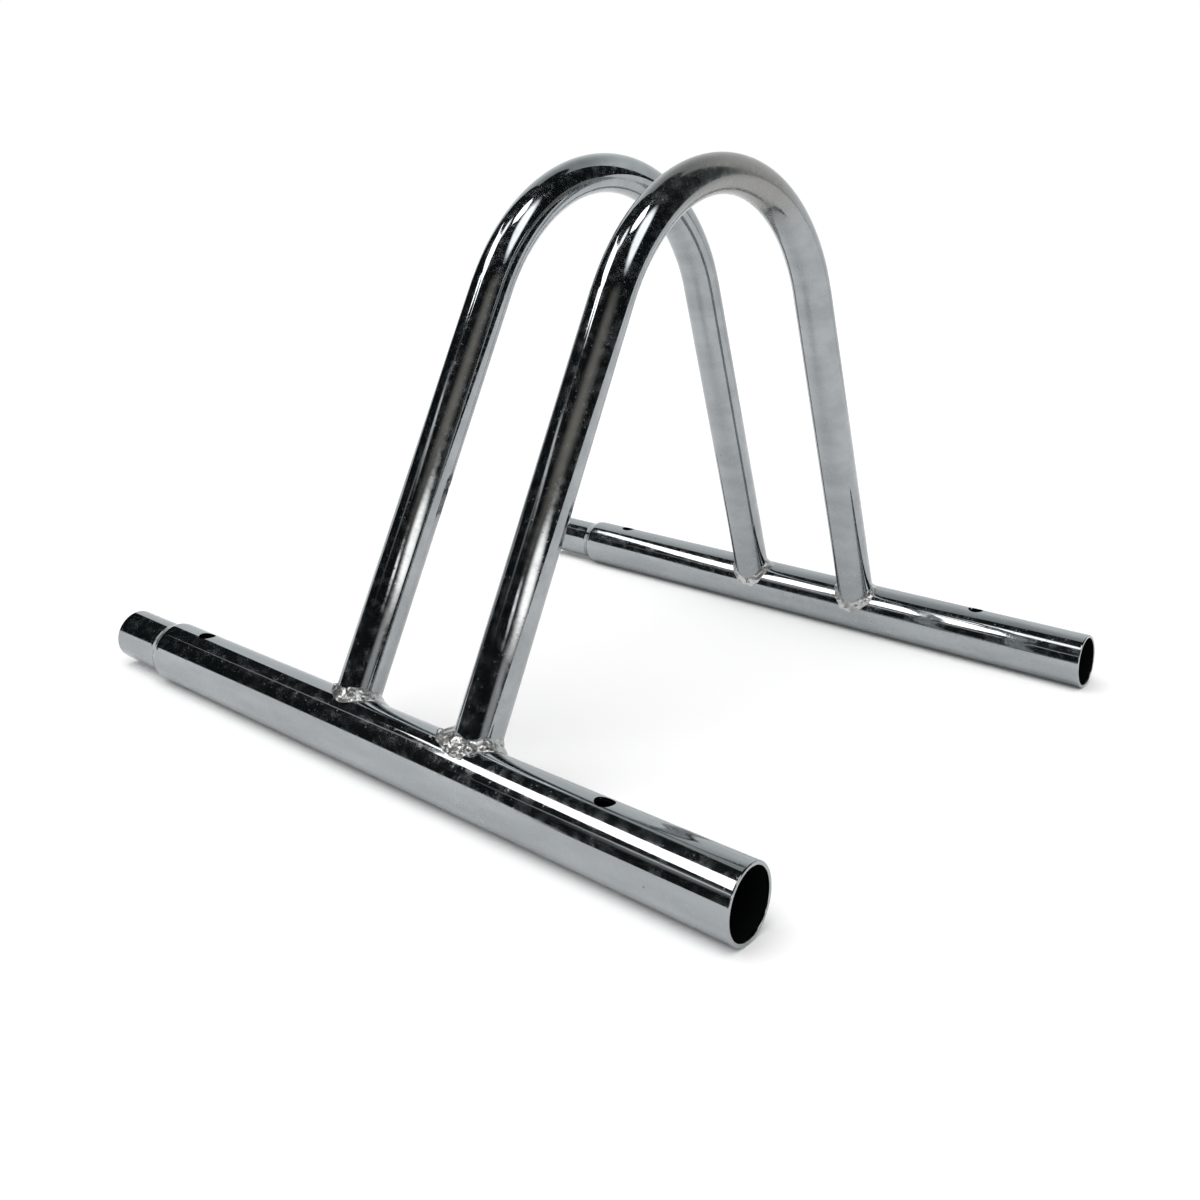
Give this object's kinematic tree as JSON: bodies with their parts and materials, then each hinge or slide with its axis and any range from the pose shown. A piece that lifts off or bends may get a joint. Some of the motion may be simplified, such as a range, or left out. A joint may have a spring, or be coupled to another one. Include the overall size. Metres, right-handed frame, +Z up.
{
  "type": "modular bike rack",
  "caption": "Zinc-plated tubular floor rack for one bicycle: two rails with spigot and socket ends to chain racks, carrying two bent hoops that hold the wheel.",
  "frame": {"origin": "on the floor, under the middle of the rack's length and width", "axes": "+X along the rails from the spigots to the sockets, +Y from the front rail to the rear rail, the way the bicycle rolls in, +Z up"},
  "size_m": [0.36, 0.37, 0.27],
  "materials": {
    "rail_zinc": "bright zinc plating on round steel tube, mirror-like with a faint haze and fine scratches",
    "hoop_zinc": "bright zinc plating on bent steel tube, slightly cloudy on the bends",
    "weld_metal": "plated weld bead, lumpy and bright"
  },
  "bodies": {
    "root": {"front_rail": "rail_zinc", "rear_rail": "rail_zinc", "left_hoop": "hoop_zinc", "right_hoop": "hoop_zinc", "front_left_weld": "weld_metal", "front_right_weld": "weld_metal", "rear_left_weld": "weld_metal", "rear_right_weld": "weld_metal"}
  },
  "joints": []
}
